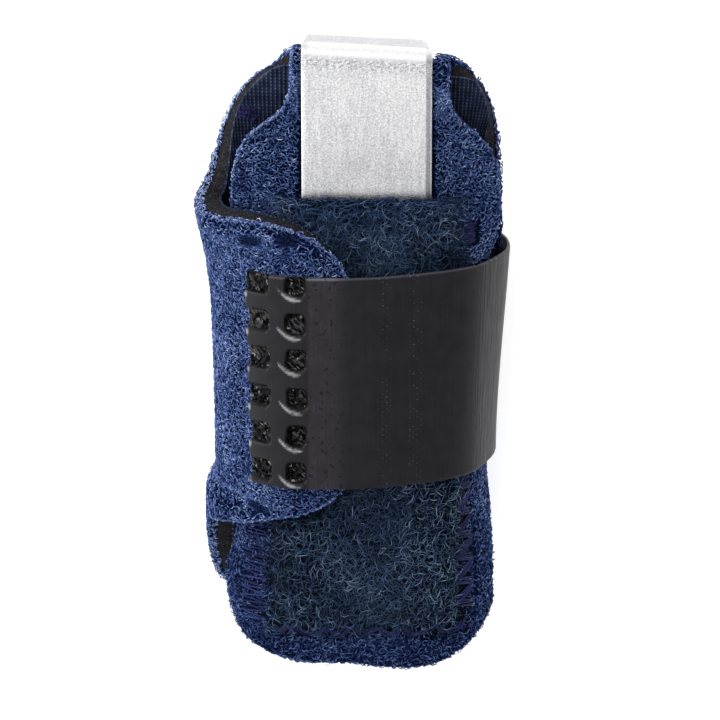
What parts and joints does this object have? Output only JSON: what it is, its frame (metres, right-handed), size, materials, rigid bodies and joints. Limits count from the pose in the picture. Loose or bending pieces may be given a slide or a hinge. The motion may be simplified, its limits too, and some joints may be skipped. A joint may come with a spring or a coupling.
{
  "type": "toe straightener",
  "caption": "Soft toe splint: a pile-faced foam sheet folded over the toe tip, with a metal stay in a sewn pocket and a hook strap that wraps the toe.",
  "frame": {"origin": "under the middle of the part's box, on the surface that it lies on", "axes": "+Y towards the toe tip, +Z out of the front face with the metal stay, +X to the right seen from the front"},
  "size_m": [0.0364, 0.0756, 0.0282],
  "materials": {
    "lining_knit": "ribbed knit, matt",
    "black_foam": "open foam, matt",
    "blue_pile": "loop pile, matt",
    "pocket_pile": "long curly pile, matt",
    "stay_metal": "satin",
    "strap_black": "satin moulded tape"
  },
  "bodies": {
    "root": {"lining": "lining_knit", "foam_core": "black_foam", "pile_cover": "blue_pile", "stay_pocket": "pocket_pile", "metal_stay": "stay_metal", "hook_strap": "strap_black"}
  },
  "joints": []
}
